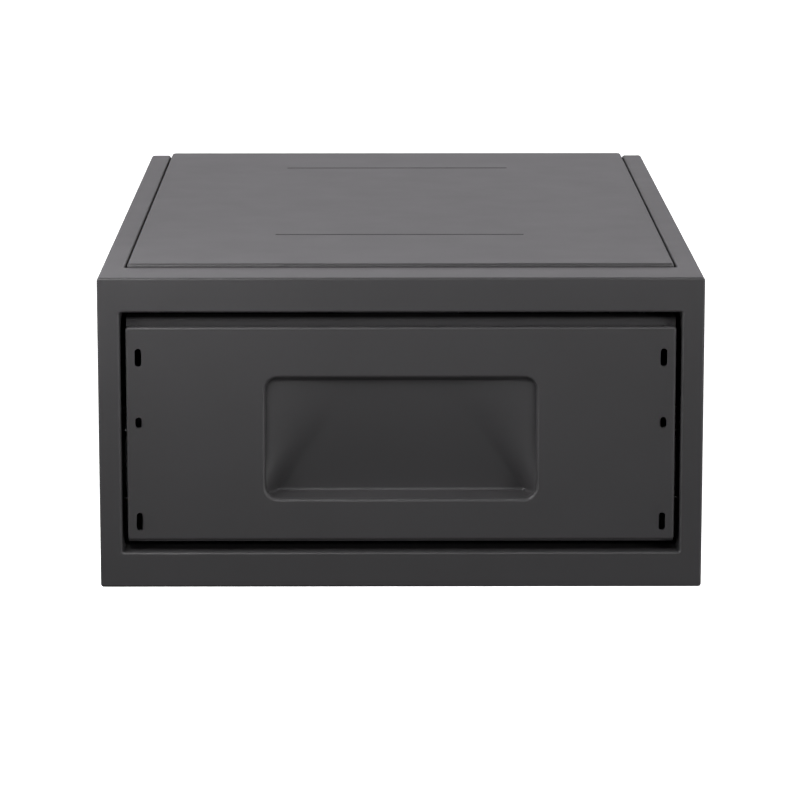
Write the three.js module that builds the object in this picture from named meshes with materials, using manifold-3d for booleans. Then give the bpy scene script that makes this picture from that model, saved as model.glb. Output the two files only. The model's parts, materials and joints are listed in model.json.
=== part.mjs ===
// Drawer safe that hangs under a desk: a folded steel cabinet, a drawer on two full-extension ball
// slides, and a cam lock under the top plate. Millimetres, +Z up, and the front faces -Y.
// The origin is the middle of the cabinet's underside.

import * as THREE from 'three';
import { mergeVertices } from 'three/addons/utils/BufferGeometryUtils.js';
import Module from 'manifold-3d';

const wasm = await Module();
wasm.setup();

// Clearances and what all sheet pieces share
const seat = 0.3;
const cutOverrun = 4;
const bendSteps = 3;
const cornerSteps = 3;
const circleSteps = 12;
const screwSteps = 10;
const roundEndShare = 0.49;
const leastCornerShare = 0.3;
const leastMitreShare = 0.4;
const headCrownShare = 0.6;
const quarterTurn = 90;
const halfTurn = 180;
const fullTurn = 360;

// Cabinet shell
const cabinetWidth = 380;
const cabinetHeight = 198;
const cabinetDepth = 610;
const shellSheet = 1.5;
const shellBendRadius = 2.2;
const borderWidth = 15;
const borderFrontDepth = 44;
const borderLipHeight = 10;
const rearFlangeWidth = 14;

// Front frame
const frameSheet = 1.6;
const stileWidth = 14;
const topRailHeight = 22;
const bottomRailHeight = 24;
const frameReturnDepth = 25;
const frameBendRadius = 2.2;
const frameEdgeRadius = 0.8;
const frameCornerRadius = 1.6;
const openingCornerRadius = 1.2;

// Top plate
const plateSheet = 1.5;
const plateProud = 2;
const plateGap = 1.2;
const plateBendRadius = 1.8;
const plateCornerRadius = 3;
const slitLength = 166;
const slitWidth = 2.4;
const frontSlitFromFront = 173;
const rearSlitFromRear = 92;

// Rails under the top plate
const railSheet = 1.5;
const railShelfWidth = 34;
const railLegHeight = 22;
const railBendRadius = 2.5;

// Back panel
const backSheet = 1.5;
const backRecess = 3;
const backScrewHeadRadius = 4;
const backScrewHeadHeight = 2.2;
const backScrewRadius = 2;
const backScrewLength = 9;
const backScrewFromTop = 30;
const backScrewFromBottom = 24;

// Drawer fascia
const fasciaSheet = 1.3;
const fasciaSetBack = 3;
const fasciaSideGap = 3.4;
const fasciaTopGap = 9.7;
const fasciaBottomGap = 6.8;
const fasciaBendRadius = 2;
const fasciaCornerRadius = 1.6;
const fasciaEdgeReturn = 4;
const fasciaRelief = 7;
const fasciaSideSteps = 5;
const slotFromSide = 7.7;
const slotWidth = 3.5;
const slotHeight = 10.2;
const shortSlotHeight = 5.4;
const upperSlotFromTop = 19.4;
const middleSlotFromTop = 61;
const lowerSlotFromBottom = 10.9;

// Finger scoop pressed in the fascia
const scoopWidth = 175;
const scoopFromTop = 30.4;
const scoopFromBottom = 23.3;
const scoopCornerRadius = 7;
const scoopRimRadius = 2.3;
const scoopRimDepth = 3.4;
const scoopTopDepth = 5.5;
const scoopBottomDepth = 28;
const scoopLedgeRise = 2;
const scoopLowerBlend = 5;
const scoopUpperBlend = 32;
const scoopFloorInset = 38;
const scoopFloorLowInset = 5;
const scoopFloorTopInset = 9;
const ledgeCrowding = 0.5;
const mostCornerLossShare = 0.7;
const floorInsetShares = [0.01, 0.03, 0.07, 0.13, 0.22, 0.34, 0.5, 0.72, 1];

// Drawer front panel, behind the fascia
const panelSheet = 1.5;
const panelBehindFascia = 8;
const panelTopGap = 4.8;
const panelBottomGap = 3.5;
const panelFlangeDepth = 14;
const panelBendRadius = 2;
const panelSlotMargin = 1;
const panelWindowMargin = 2.5;

// Drawer tray
const traySheet = 1.2;
const trayRearGap = 52.7;
const trayBelowPanelTop = 31.7;
const trayHemWidth = 6;
const trayBackDrop = 5;
const trayBendRadius = 2;

// Ball slides
const slideThickness = 12.7;
const slideHeight = 45;
const slideSheet = 1.2;
const slideRearGap = 29.5;
const slideCentreHeight = 74;
const slideBehindReturn = 1;
const slidePassGap = 1.2;
const slideEndGap = 10;
const slideLipTurn = 10;
const raceTurn = 25;
const outerBallRadius = 2;
const innerBallRadius = 1.5;
const cageSheet = 0.6;
const cageEndSlack = 20;
const cageBalls = 6;
const cageEndMargin = 12;
const cageBendRadius = 0.8;
const cageStartMargin = 10;
const ballSteps = 8;
const ballRings = 4;
const slideOverlap = 50;
const bufferLength = 8;
const bufferHeight = 18;
const bufferBevel = 1.2;

// Slide brackets and their screws
const bracketSheet = 1.5;
const bracketHeight = 52;
const bracketCrown = 30;
const bracketFoot = 12;
const bracketBendRadius = 2;
const bracketFromEnd = 45;
const slideScrewRadius = 2;
const slideScrewHeadRadius = 3.6;
const slideScrewHeadHeight = 1.1;
const slideScrewLength = 6;
const rivetFromEnd = 60;
const rivetRadius = 1.8;
const rivetHeadRadius = 3.4;
const rivetHeadHeight = 1;

// Lock
const lockRailWidth = 60;
const lockRailSheet = 1.5;
const lockRailHeight = 8;
const lockRailFoot = 14;
const lockFromFront = 62;
const lockCaseLength = 74;
const lockCaseDepth = 52;
const lockCaseHeight = 18;
const lockCaseCornerRadius = 4;
const lockCaseBevel = 1.2;
const spindleRadius = 4;
const spindleBoreGap = 0.3;
const camScrewRadius = 1.5;
const camScrewLength = 6;
const spindleReach = 9;
const camLength = 34;
const camWidth = 13;
const camThickness = 2.5;
const camDrop = 1.5;
const camScrewHeadRadius = 4.5;
const camScrewHeadHeight = 2.5;
const strikeSheet = 2;
const strikeWidth = 20;
const strikeBlockGap = 1;
const strikeFromSpindle = 12;
const strikeTabHeight = 14;
const strikeBendRadius = 2.4;
const strikeLegAbove = 6;

// Places that follow from the sizes above
const halfWidth = cabinetWidth / 2;
const openingHalf = halfWidth - stileWidth;
const openingLow = bottomRailHeight;
const openingHigh = cabinetHeight - topRailHeight;
const shellInside = halfWidth - shellSheet;
const shellFront = frameSheet + seat;
const borderInner = halfWidth - borderWidth;
const borderLipLow = cabinetHeight - borderLipHeight;
const plateTop = cabinetHeight + plateProud;
const railTop = borderLipLow - seat;
const backFront = cabinetDepth - backRecess - backSheet;
const rearFlangeFront = backFront - seat - shellSheet;
const fasciaHalf = openingHalf - fasciaSideGap;
const fasciaLow = openingLow + fasciaBottomGap;
const fasciaHigh = openingHigh - fasciaTopGap;
const scoopHigh = fasciaHigh - scoopFromTop;
const scoopLow = fasciaLow + scoopFromBottom;
const panelFront = fasciaSetBack + panelBehindFascia;
const panelBack = panelFront + panelSheet;
const panelLow = openingLow + panelBottomGap;
const panelHigh = openingHigh - panelTopGap;
const slideFront = frameReturnDepth + slideBehindReturn;
const slideRear = backFront - slideRearGap;
const memberRear = slideRear - slideEndGap;
const drawerTravel = slideRear - slideFront - slideOverlap;
const raceOffset = seat + slideSheet / 2;
const slotColumnX = fasciaHalf - slotFromSide;
const slotRows = [
  { z: fasciaHigh - upperSlotFromTop, height: slotHeight },
  { z: fasciaHigh - middleSlotFromTop, height: shortSlotHeight },
  { z: fasciaLow + lowerSlotFromBottom, height: slotHeight },
];

// Half sections of the slide, from its back to the drawer (depth) and up from its middle (rise)
const outerBallRise = slideHeight / 2 - slideSheet - seat - outerBallRadius;
const outerRaceRadius = outerBallRadius + raceOffset;
const cageBack = slideSheet + seat;
const middleBack = cageBack + cageSheet + seat;
const outerBallDepth = middleBack + slideSheet + outerBallRadius;
const innerRaceRadius = innerBallRadius + raceOffset;
const innerBallRise = outerBallRise - outerRaceRadius - innerRaceRadius;
const innerCageBack = middleBack + slideSheet + seat;
const innerBallDepth = innerCageBack + cageSheet + seat + innerBallRadius;
const slideBack = openingHalf - slidePassGap + middleBack;
const trayHalf = slideBack - slideThickness - seat;
const trayLow = panelLow;
const trayHigh = panelHigh - trayBelowPanelTop;
const trayFront = panelBack + seat;
const trayRear = backFront - trayRearGap;
const cageFront = slideFront + drawerTravel / 4 + cageStartMargin;
const cageRear = memberRear - drawerTravel / 4 - cageEndSlack;
const bracketFace = slideBack + seat;

// Finishes
const powderCoat = { color: 0x3b3b3d, roughness: 0.55, metalness: 0.2 };
const zincPlate = { color: 0xb4b7ba, roughness: 0.35, metalness: 0.9 };
const bearingSteel = { color: 0xa9abad, roughness: 0.3, metalness: 0.9 };
const blackPlastic = { color: 0x1c1c1e, roughness: 0.6, metalness: 0 };
const blackScrew = { color: 0x2a2a2c, roughness: 0.4, metalness: 0.8 };

// Turns a geometry inside out
function flipped(geometry) {
  const index = geometry.index.array;
  for (let i = 0; i < index.length; i += 3) {
    const first = index[i];
    index[i] = index[i + 1];
    index[i + 1] = first;
  }
  return geometry;
}

function signedVolume(geometry) {
  const place = geometry.attributes.position;
  const index = geometry.index.array;
  const corners = [new THREE.Vector3(), new THREE.Vector3(), new THREE.Vector3()];
  let volume = 0;
  for (let i = 0; i < index.length; i += 3) {
    corners.forEach((corner, k) => corner.fromBufferAttribute(place, index[i + k]));
    volume += corners[0].dot(corners[1].clone().cross(corners[2])) / 6;
  }
  return volume;
}

// A closed mesh with merged corners and its faces pointing out
function closed(geometry) {
  const bare = geometry.clone();
  bare.deleteAttribute('normal');
  bare.deleteAttribute('uv');
  const merged = mergeVertices(bare);
  return signedVolume(merged) < 0 ? flipped(merged) : merged;
}

function toSolid(geometry) {
  const mesh = closed(geometry);
  const vertProperties = new Float32Array(mesh.attributes.position.array);
  const triVerts = new Uint32Array(mesh.index.array);
  return new wasm.Manifold(new wasm.Mesh({ numProp: 3, vertProperties, triVerts }));
}

function toGeometry(solid) {
  const mesh = solid.getMesh();
  const geometry = new THREE.BufferGeometry();
  geometry.setAttribute('position', new THREE.BufferAttribute(mesh.vertProperties, 3));
  geometry.setIndex(new THREE.BufferAttribute(mesh.triVerts, 1));
  return geometry;
}

function joined(geometries) {
  return toGeometry(geometries.map(toSolid).reduce((sum, next) => sum.add(next)));
}

function cut(geometry, cutters) {
  return toGeometry(cutters.map(toSolid).reduce((rest, next) => rest.subtract(next), toSolid(geometry)));
}

function mirrored(geometry) {
  const copy = closed(geometry);
  copy.scale(-1, 1, 1);
  return flipped(copy);
}

// Flat outlines
const point = (x, y) => new THREE.Vector2(x, y);

function rectangle(left, right, low, high, radius) {
  const shape = new THREE.Shape();
  shape.absarc(right - radius, low + radius, radius, -Math.PI / 2, 0);
  shape.absarc(right - radius, high - radius, radius, 0, Math.PI / 2);
  shape.absarc(left + radius, high - radius, radius, Math.PI / 2, Math.PI);
  shape.absarc(left + radius, low + radius, radius, Math.PI, Math.PI * 1.5);
  shape.closePath();
  return shape;
}

function sharpRectangle(left, right, low, high) {
  return new THREE.Shape([point(left, low), point(right, low), point(right, high), point(left, high)]);
}

function circle(x, y, radius) {
  const lastTurn = fullTurn - fullTurn / circleSteps;
  return new THREE.Shape(arc(point(x, y), radius, 0, lastTurn, circleSteps - 1));
}

function arc(centre, radius, from, to, steps) {
  const points = [];
  for (let i = 0; i <= steps; i++) {
    const angle = THREE.MathUtils.degToRad(from + ((to - from) * i) / steps);
    points.push(point(centre.x + radius * Math.cos(angle), centre.y + radius * Math.sin(angle)));
  }
  return points;
}

// Rounds the inner corners of an open path, as a sheet bends
function bent(corners, radius) {
  const path = [corners[0]];
  for (let i = 1; i < corners.length - 1; i++) {
    const back = corners[i - 1].clone().sub(corners[i]).normalize();
    const on = corners[i + 1].clone().sub(corners[i]).normalize();
    const half = Math.acos(THREE.MathUtils.clamp(back.dot(on), -1, 1)) / 2;
    const inward = back.clone().add(on).normalize();
    const centre = corners[i].clone().addScaledVector(inward, radius / Math.sin(half));
    const start = corners[i].clone().addScaledVector(back, radius / Math.tan(half)).sub(centre);
    const turn = (half * 2 - Math.PI) * Math.sign(back.cross(on));
    for (let k = 0; k <= bendSteps; k++) {
      const spoke = start.clone().rotateAround(point(0, 0), (turn * k) / bendSteps);
      path.push(centre.clone().add(spoke));
    }
  }
  path.push(corners[corners.length - 1]);
  return path;
}

// The outline of a sheet of even thickness whose middle line is the path
function sheetOutline(path, thickness) {
  const left = [];
  const right = [];
  path.forEach((here, i) => {
    const before = path[Math.max(i - 1, 0)];
    const after = path[Math.min(i + 1, path.length - 1)];
    const into = i > 0 ? here.clone().sub(before).normalize() : after.clone().sub(here).normalize();
    const out = i < path.length - 1 ? after.clone().sub(here).normalize() : into.clone();
    const across = point(-into.y - out.y, into.x + out.x).normalize();
    const reach = thickness / 2 / Math.max(across.dot(point(-into.y, into.x)), leastMitreShare);
    left.push(here.clone().addScaledVector(across, reach));
    right.unshift(here.clone().addScaledVector(across, -reach));
  });
  return new THREE.Shape(left.concat(right));
}

// Extrusions along each axis. An outline is drawn in (x, z), (y, z) or (x, y).
function extruded(shape, length) {
  return new THREE.ExtrudeGeometry(shape, { depth: length, bevelEnabled: false, curveSegments: cornerSteps });
}

function alongY(shape, from, to) {
  const geometry = extruded(shape, to - from);
  geometry.applyMatrix4(new THREE.Matrix4().makeBasis(
    new THREE.Vector3(1, 0, 0), new THREE.Vector3(0, 0, 1), new THREE.Vector3(0, 1, 0)));
  return closed(geometry.translate(0, from, 0));
}

function alongX(shape, from, to) {
  const geometry = extruded(shape, to - from);
  geometry.applyMatrix4(new THREE.Matrix4().makeBasis(
    new THREE.Vector3(0, 1, 0), new THREE.Vector3(0, 0, 1), new THREE.Vector3(1, 0, 0)));
  return closed(geometry.translate(from, 0, 0));
}

function alongZ(shape, from, to) {
  return closed(extruded(shape, to - from).translate(0, 0, from));
}

function block(left, right, front, back, low, high) {
  return alongY(sharpRectangle(left, right, low, high), front, back);
}

// A loop of points round a rounded rectangle, in x and z, with its sides cut into steps
function loop(left, right, low, high, radius, sideSteps) {
  const corners = [
    [point(right - radius, low + radius), -quarterTurn],
    [point(right - radius, high - radius), 0],
    [point(left + radius, high - radius), quarterTurn],
    [point(left + radius, low + radius), halfTurn],
  ];
  const points = [];
  corners.forEach(([centre, from], i) => {
    const round = arc(centre, radius, from, from + quarterTurn, cornerSteps);
    const [nextCentre, nextFrom] = corners[(i + 1) % corners.length];
    const next = arc(nextCentre, radius, nextFrom, nextFrom, 1)[0];
    const last = round[round.length - 1];
    points.push(...round);
    for (let k = 1; k < sideSteps; k++) points.push(last.clone().lerp(next, k / sideSteps));
  });
  return points;
}

// A skin through loops of equal count. It ends in flat caps, or runs round to its first loop.
function loft(loops, ring) {
  const count = loops[0].length;
  const index = [];
  const last = ring ? loops.length : loops.length - 1;
  for (let i = 0; i < last; i++) {
    for (let k = 0; k < count; k++) {
      const next = (k + 1) % count;
      const here = i * count;
      const there = ((i + 1) % loops.length) * count;
      index.push(here + k, here + next, there + next, here + k, there + next, there + k);
    }
  }
  const end = (loops.length - 1) * count;
  for (let k = 1; !ring && k < count - 1; k++) index.push(0, k + 1, k, end, end + k, end + k + 1);
  const geometry = new THREE.BufferGeometry();
  const places = loops.flat().flatMap((p) => p.toArray());
  geometry.setAttribute('position', new THREE.Float32BufferAttribute(places, 3));
  geometry.setIndex(index);
  return geometry;
}

// Points down a quarter round, from its side (across 0) to its top (along 0)
function quarter(radius) {
  const points = arc(point(radius, radius), radius, halfTurn, halfTurn + quarterTurn, bendSteps);
  return points.map((p) => ({ across: p.x, along: p.y }));
}

const atDepth = (points, y) => points.map((p) => new THREE.Vector3(p.x, y, p.y));

// A turned piece along +Z from pairs of radius and height
function turned(profile, steps) {
  return closed(new THREE.LatheGeometry(profile.map(([r, z]) => point(r, z)), steps).rotateX(Math.PI / 2));
}

// The shell is one folded sheet, with a welded front strip on top and a flange round its rear
function cabinetShell() {
  const side = halfWidth - shellSheet / 2;
  const low = shellSheet / 2;
  const top = cabinetHeight - shellSheet / 2;
  const lip = borderInner + shellSheet / 2;
  const fold = shellBendRadius - shellSheet / 2;
  const wrap = bent([
    point(-lip, borderLipLow), point(-lip, top), point(-side, top), point(-side, low),
    point(side, low), point(side, top), point(lip, top), point(lip, borderLipLow),
  ], fold);
  const folded = alongY(sheetOutline(wrap, shellSheet), shellFront, cabinetDepth);
  const stripBack = borderFrontDepth - shellSheet / 2;
  const strip = bent([point(shellFront, top), point(stripBack, top), point(stripBack, borderLipLow)], fold);
  const front = alongX(sheetOutline(strip, shellSheet), -borderInner - shellSheet, borderInner + shellSheet);
  const flange = alongY(
    rectangle(-side, side, low, top, fold), rearFlangeFront, rearFlangeFront + shellSheet);
  const rearOpening = block(
    rearFlangeWidth - halfWidth, halfWidth - rearFlangeWidth,
    rearFlangeFront - cutOverrun, cabinetDepth + cutOverrun, rearFlangeWidth, cabinetHeight + cutOverrun);
  const rear = cut(flange, [rearOpening]);
  return cut(joined([folded, front, rear]), backScrewPlaces().map(backScrewHole));
}

function backScrewPlaces() {
  const side = halfWidth - rearFlangeWidth / 2;
  const heights = { top: cabinetHeight - backScrewFromTop, bottom: backScrewFromBottom };
  return Object.entries(heights).flatMap(([row, height]) => [
    { name: `${row}_left`, x: -side, z: height },
    { name: `${row}_right`, x: side, z: height },
  ]);
}

function backScrewHole(place) {
  const outline = circle(place.x, place.z, backScrewRadius + seat);
  return alongY(outline, rearFlangeFront - cutOverrun, cabinetDepth + cutOverrun);
}

// The frame is a flat ring, rounded at its outside and folded back round the opening
function frontFrame() {
  const outer = (inset, y) => atDepth(loop(
    inset - halfWidth, halfWidth - inset, inset, cabinetHeight - inset, frameCornerRadius, 1), y);
  const inner = (outset, y) => atDepth(loop(
    -openingHalf - outset, openingHalf + outset, openingLow - outset, openingHigh + outset,
    openingCornerRadius + outset, 1), y);
  const insideBend = frameBendRadius - frameSheet;
  const edge = quarter(frameEdgeRadius).map(({ across, along }) => outer(across, along));
  const fold = quarter(frameBendRadius).map(({ across, along }) => inner(along, across));
  const innerFold = quarter(insideBend).map(
    ({ across, along }) => inner(frameSheet + across, frameSheet + along));
  return closed(loft([
    outer(0, frameSheet), ...edge, ...fold,
    inner(0, frameReturnDepth), inner(frameSheet, frameReturnDepth), ...innerFold,
  ], true));
}

// The top plate is a shallow lid, folded down all round, with two slits for hanging tabs
function topPlate() {
  const half = borderInner - plateGap;
  const front = borderFrontDepth + plateGap;
  const level = (inset, z) => loop(
    inset - half, half - inset, front + inset, cabinetDepth - inset,
    Math.max(plateCornerRadius - inset, plateCornerRadius * leastCornerShare), 1,
  ).map((p) => new THREE.Vector3(p.x, p.y, z));
  const outside = quarter(plateBendRadius).map(({ across, along }) => level(across, plateTop - along));
  const lid = closed(loft([
    level(plateBendRadius, plateTop - plateSheet),
    level(plateSheet, plateTop - plateBendRadius),
    level(plateSheet, borderLipLow),
    level(0, borderLipLow),
    ...outside,
  ], false));
  const slits = [frontSlitFromFront, cabinetDepth - rearSlitFromRear].map((fromFront) => alongZ(
    rectangle(-slitLength / 2, slitLength / 2, fromFront - slitWidth / 2, fromFront + slitWidth / 2,
      slitWidth * roundEndShare), borderLipLow, plateTop + cutOverrun));
  return cut(lid, slits);
}

// An angle along the cabinet's side, whose shelf carries the top plate and the lips beside it
function topRail() {
  const leg = shellInside - seat - railSheet / 2;
  const shelf = railTop - railSheet / 2;
  const path = bent(
    [point(leg, railTop - railLegHeight), point(leg, shelf), point(leg - railShelfWidth, shelf)],
    railBendRadius - railSheet / 2);
  return alongY(sheetOutline(path, railSheet), frameReturnDepth, rearFlangeFront - seat);
}

function backPanel() {
  const edge = shellInside - seat;
  const step = borderInner + shellSheet + seat;
  const low = shellSheet + seat;
  const high = cabinetHeight - shellSheet - seat;
  const outline = new THREE.Shape([
    point(-edge, low), point(edge, low), point(edge, high), point(step, high),
    point(step, railTop), point(-step, railTop), point(-step, high), point(-edge, high),
  ]);
  return cut(alongY(outline, backFront, backFront + backSheet), backScrewPlaces().map(backScrewHole));
}

// Pan head behind the back panel, shank forward through the shell's rear flange
function backScrew(place) {
  const head = seat + backScrewHeadHeight;
  const crown = backScrewHeadRadius * headCrownShare;
  const profile = [
    [0, -backScrewLength], [backScrewRadius, -backScrewLength], [backScrewRadius, seat],
    [backScrewHeadRadius, seat], [backScrewHeadRadius, seat + backScrewHeadHeight / 2],
    [crown, head], [0, head],
  ];
  const screw = turned(profile, screwSteps).rotateX(-Math.PI / 2);
  return screw.translate(place.x, backFront + backSheet, place.z);
}

// The fascia is one pressed sheet: loops run over its face, down the scoop, and back behind it
function fasciaLoop(inset, y) {
  return atDepth(loop(
    inset - fasciaHalf, fasciaHalf - inset, fasciaLow + inset, fasciaHigh - inset,
    fasciaCornerRadius, fasciaSideSteps), y);
}

function scoopLoop(sideInset, lowInset, topInset) {
  const radius = scoopCornerRadius - Math.min(sideInset, scoopCornerRadius * mostCornerLossShare);
  return loop(
    sideInset - scoopWidth / 2, scoopWidth / 2 - sideInset, scoopLow + lowInset, scoopHigh - topInset,
    radius, fasciaSideSteps);
}

// The scoop slopes back from top to bottom, and its sides blend into it more widely towards the top
function scoopDepth(p) {
  const fromSide = scoopWidth / 2 - scoopRimRadius - Math.abs(p.x);
  const fromBottom = p.y - scoopLow - scoopRimRadius;
  const fromTop = scoopHigh - scoopRimRadius - p.y;
  const down = fromTop / (fromTop + fromBottom);
  const blend = THREE.MathUtils.lerp(scoopUpperBlend, scoopLowerBlend, down);
  const slope = THREE.MathUtils.lerp(scoopTopDepth, scoopBottomDepth, down);
  const sideShare = THREE.MathUtils.smoothstep(fromSide, 0, blend);
  const ledgeShare = THREE.MathUtils.smoothstep(fromBottom, 0, scoopLedgeRise);
  const topShare = THREE.MathUtils.smoothstep(fromTop, 0, scoopRimDepth);
  const rest = scoopRimRadius + (scoopRimDepth - scoopRimRadius) * topShare;
  return rest + (slope - rest) * sideShare * ledgeShare * topShare;
}

function scoopLoops() {
  const rim = quarter(scoopRimRadius).map(({ across, along }) => {
    const inset = scoopRimRadius - along;
    return atDepth(scoopLoop(inset, inset, inset), fasciaSetBack + across);
  });
  const floor = floorInsetShares.map((share) => scoopLoop(
    scoopRimRadius + share * scoopFloorInset,
    scoopRimRadius + share ** ledgeCrowding * scoopFloorLowInset,
    scoopRimRadius + share * scoopFloorTopInset,
  ).map((p) => new THREE.Vector3(p.x, fasciaSetBack + scoopDepth(p), p.y)));
  return [...rim, ...floor];
}

// The same loops on the sheet's far side
function behind(loops, surround) {
  const skin = loft([surround, ...loops], false);
  skin.computeVertexNormals();
  const normals = skin.attributes.normal;
  const count = surround.length;
  return loops.map((points, i) => points.map((p, k) => {
    const normal = new THREE.Vector3().fromBufferAttribute(normals, (i + 1) * count + k);
    return p.clone().addScaledVector(normal, -fasciaSheet);
  }));
}

function drawerFascia() {
  const scoop = scoopLoops();
  const returnEnd = panelFront - seat;
  const fold = quarter(fasciaBendRadius).map(
    ({ across, along }) => fasciaLoop(across, fasciaSetBack + along));
  const innerFold = quarter(fasciaBendRadius - fasciaSheet).map(({ across, along }) => fasciaLoop(
    fasciaSheet + across, fasciaSetBack + fasciaSheet + along));
  const sheet = loft([
    ...behind(scoop, fold[fold.length - 1]).reverse(), ...innerFold.reverse(),
    fasciaLoop(fasciaSheet, returnEnd), fasciaLoop(0, returnEnd), ...fold, ...scoop,
  ], false);
  const reliefFront = fasciaSetBack + fasciaEdgeReturn;
  const reliefSide = fasciaHalf - fasciaRelief;
  const edges = [
    [fasciaHigh - fasciaBendRadius, fasciaHigh + cutOverrun],
    [fasciaLow - cutOverrun, fasciaLow + fasciaBendRadius],
  ];
  const reliefs = edges.map(
    ([low, high]) => block(-reliefSide, reliefSide, reliefFront, panelFront, low, high));
  const slots = fixingSlots(0, fasciaSetBack - cutOverrun, fasciaSetBack + cutOverrun);
  return cut(closed(sheet), [...reliefs, ...slots]);
}

// Six slots for the screws of a desk front, three in a column at each side
function fixingSlots(margin, from, to) {
  return [-slotColumnX, slotColumnX].flatMap((x) => slotRows.map(({ z, height }) => {
    const halfSlot = slotWidth / 2 + margin;
    const halfHeight = height / 2 + margin;
    const outline = rectangle(
      x - halfSlot, x + halfSlot, z - halfHeight, z + halfHeight, halfSlot * 2 * roundEndShare);
    return alongY(outline, from, to);
  }));
}

// The front panel closes the tray, stands above the fascia, and has a window for the scoop
function drawerFrontPanel() {
  const face = panelFront + panelSheet / 2;
  const top = panelHigh - panelSheet / 2;
  const path = bent(
    [point(face, panelLow), point(face, top), point(panelFront + panelFlangeDepth, top)],
    panelBendRadius - panelSheet / 2);
  const sheet = alongX(sheetOutline(path, panelSheet), -fasciaHalf, fasciaHalf);
  const windowHalf = scoopWidth / 2 + panelWindowMargin;
  const window = alongY(rectangle(
    -windowHalf, windowHalf, scoopLow - panelWindowMargin, scoopHigh + panelWindowMargin,
    scoopCornerRadius + panelWindowMargin), panelFront - cutOverrun, panelBack + cutOverrun);
  const slots = fixingSlots(panelSlotMargin, panelFront - cutOverrun, panelBack + cutOverrun);
  return cut(sheet, [window, ...slots]);
}

// The tray's floor and sides are one folded sheet with hemmed edges, and its back is welded on
function drawerTray() {
  const side = trayHalf - traySheet / 2;
  const low = trayLow + traySheet / 2;
  const top = trayHigh - traySheet / 2;
  const fold = trayBendRadius - traySheet / 2;
  const path = bent([
    point(trayHemWidth - trayHalf, top), point(-side, top), point(-side, low),
    point(side, low), point(side, top), point(trayHalf - trayHemWidth, top),
  ], fold);
  const backHigh = top - trayBackDrop;
  const folded = alongY(sheetOutline(path, traySheet), trayFront, trayRear);
  const back = alongY(rectangle(-side, side, low, backHigh, fold), trayRear - traySheet, trayRear);
  const hem = block(
    -side, side, trayRear - trayHemWidth, trayRear, backHigh - fold - traySheet, backHigh - fold);
  const holes = rivetPlaces().map((y) => rivetHole(y, rivetRadius + seat, trayHalf));
  return cut(joined([folded, back, hem]), holes.flatMap((hole) => [hole, mirrored(hole)]));
}

// A hole through a wall of the right side, along X
function rivetHole(y, radius, wall) {
  return alongX(circle(y, slideCentreHeight, radius), wall - cutOverrun, wall + cutOverrun);
}

const rivetPlaces = () => [slideFront + rivetFromEnd, memberRear - rivetFromEnd];
const bracketPlaces = () => ({
  front: slideFront + bracketFromEnd,
  rear: slideRear - bracketFromEnd,
});

// A slide section: points of depth from the slide's back and rise from its middle, for the right side
function slideSection(upper) {
  const lower = upper.map((p) => point(p.x, -p.y)).reverse();
  return [...upper, ...lower].map((p) => point(slideBack - p.x, slideCentreHeight + p.y));
}

function slideOuter() {
  const ball = point(outerBallDepth, outerBallRise);
  const lip = arc(ball, outerRaceRadius, -slideLipTurn, quarterTurn, bendSteps);
  const path = slideSection([...lip, ...cornerOf(lip, slideSheet / 2)]);
  const member = alongY(sheetOutline(path, slideSheet), slideFront, slideRear);
  const holes = Object.values(bracketPlaces()).map((y) => alongX(
    circle(y, slideCentreHeight, slideScrewHeadRadius + seat),
    slideBack - slideSheet - seat, slideBack + seat));
  return cut(member, holes);
}

// The bend that joins a race to its web
function cornerOf(race, web) {
  const end = race[race.length - 1];
  return bent([end, point(web, end.y), point(web, 0)], slideSheet).slice(1, -1);
}

function slideMiddle() {
  const lip = arc(point(innerBallDepth, innerBallRise), innerRaceRadius, 0, quarterTurn, bendSteps);
  const path = slideSection([...lip, ...cornerOf(lip, middleBack + slideSheet / 2)]);
  return alongY(sheetOutline(path, slideSheet), slideFront, memberRear);
}

function slideInner() {
  const ball = point(innerBallDepth, innerBallRise);
  const race = arc(ball, innerRaceRadius, -quarterTurn - raceTurn, -quarterTurn, bendSteps);
  const path = slideSection([...race, ...cornerOf(race, slideThickness - slideSheet / 2)]);
  const member = alongY(sheetOutline(path, slideSheet), slideFront, memberRear);
  const web = slideBack - slideThickness + slideSheet / 2;
  return cut(member, rivetPlaces().map((y) => alongX(
    circle(y, slideCentreHeight, rivetHeadRadius + seat), web - slideSheet, web + slideSheet)));
}

// A ball cage is a thin channel whose two arms hold a row of balls each
function ballCage(back, ballDepth, ballRise, raceRadius, ballRadius) {
  const arm = ballDepth + raceRadius - slideSheet / 2 - seat;
  const web = back + cageSheet / 2;
  const half = bent([point(arm, ballRise), point(web, ballRise), point(web, 0)], cageBendRadius).slice(0, -1);
  const channel = alongY(sheetOutline(slideSection(half), cageSheet), cageFront, cageRear);
  const step = (cageRear - cageFront - cageEndMargin * 2) / (cageBalls - 1);
  const balls = [];
  for (let i = 0; i < cageBalls; i++) {
    for (const rise of [-ballRise, ballRise]) {
      const ball = new THREE.SphereGeometry(ballRadius, ballSteps, ballRings);
      const y = cageFront + cageEndMargin + step * i;
      balls.push(ball.translate(slideBack - ballDepth, y, slideCentreHeight + rise));
    }
  }
  return joined([channel, ...balls]);
}

function outerCage() {
  return ballCage(cageBack, outerBallDepth, outerBallRise, outerRaceRadius, outerBallRadius);
}

function innerCage() {
  return ballCage(innerCageBack, innerBallDepth, innerBallRise, innerRaceRadius, innerBallRadius);
}

// A moulded stop in the rear end of the outer member
function slideBuffer() {
  const right = slideBack - slideSheet - seat;
  const outline = rectangle(
    slideBack - slideThickness + slideSheet, right,
    slideCentreHeight - bufferHeight / 2, slideCentreHeight + bufferHeight / 2, bufferBevel);
  return alongY(outline, slideRear - bufferLength, slideRear);
}

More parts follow.
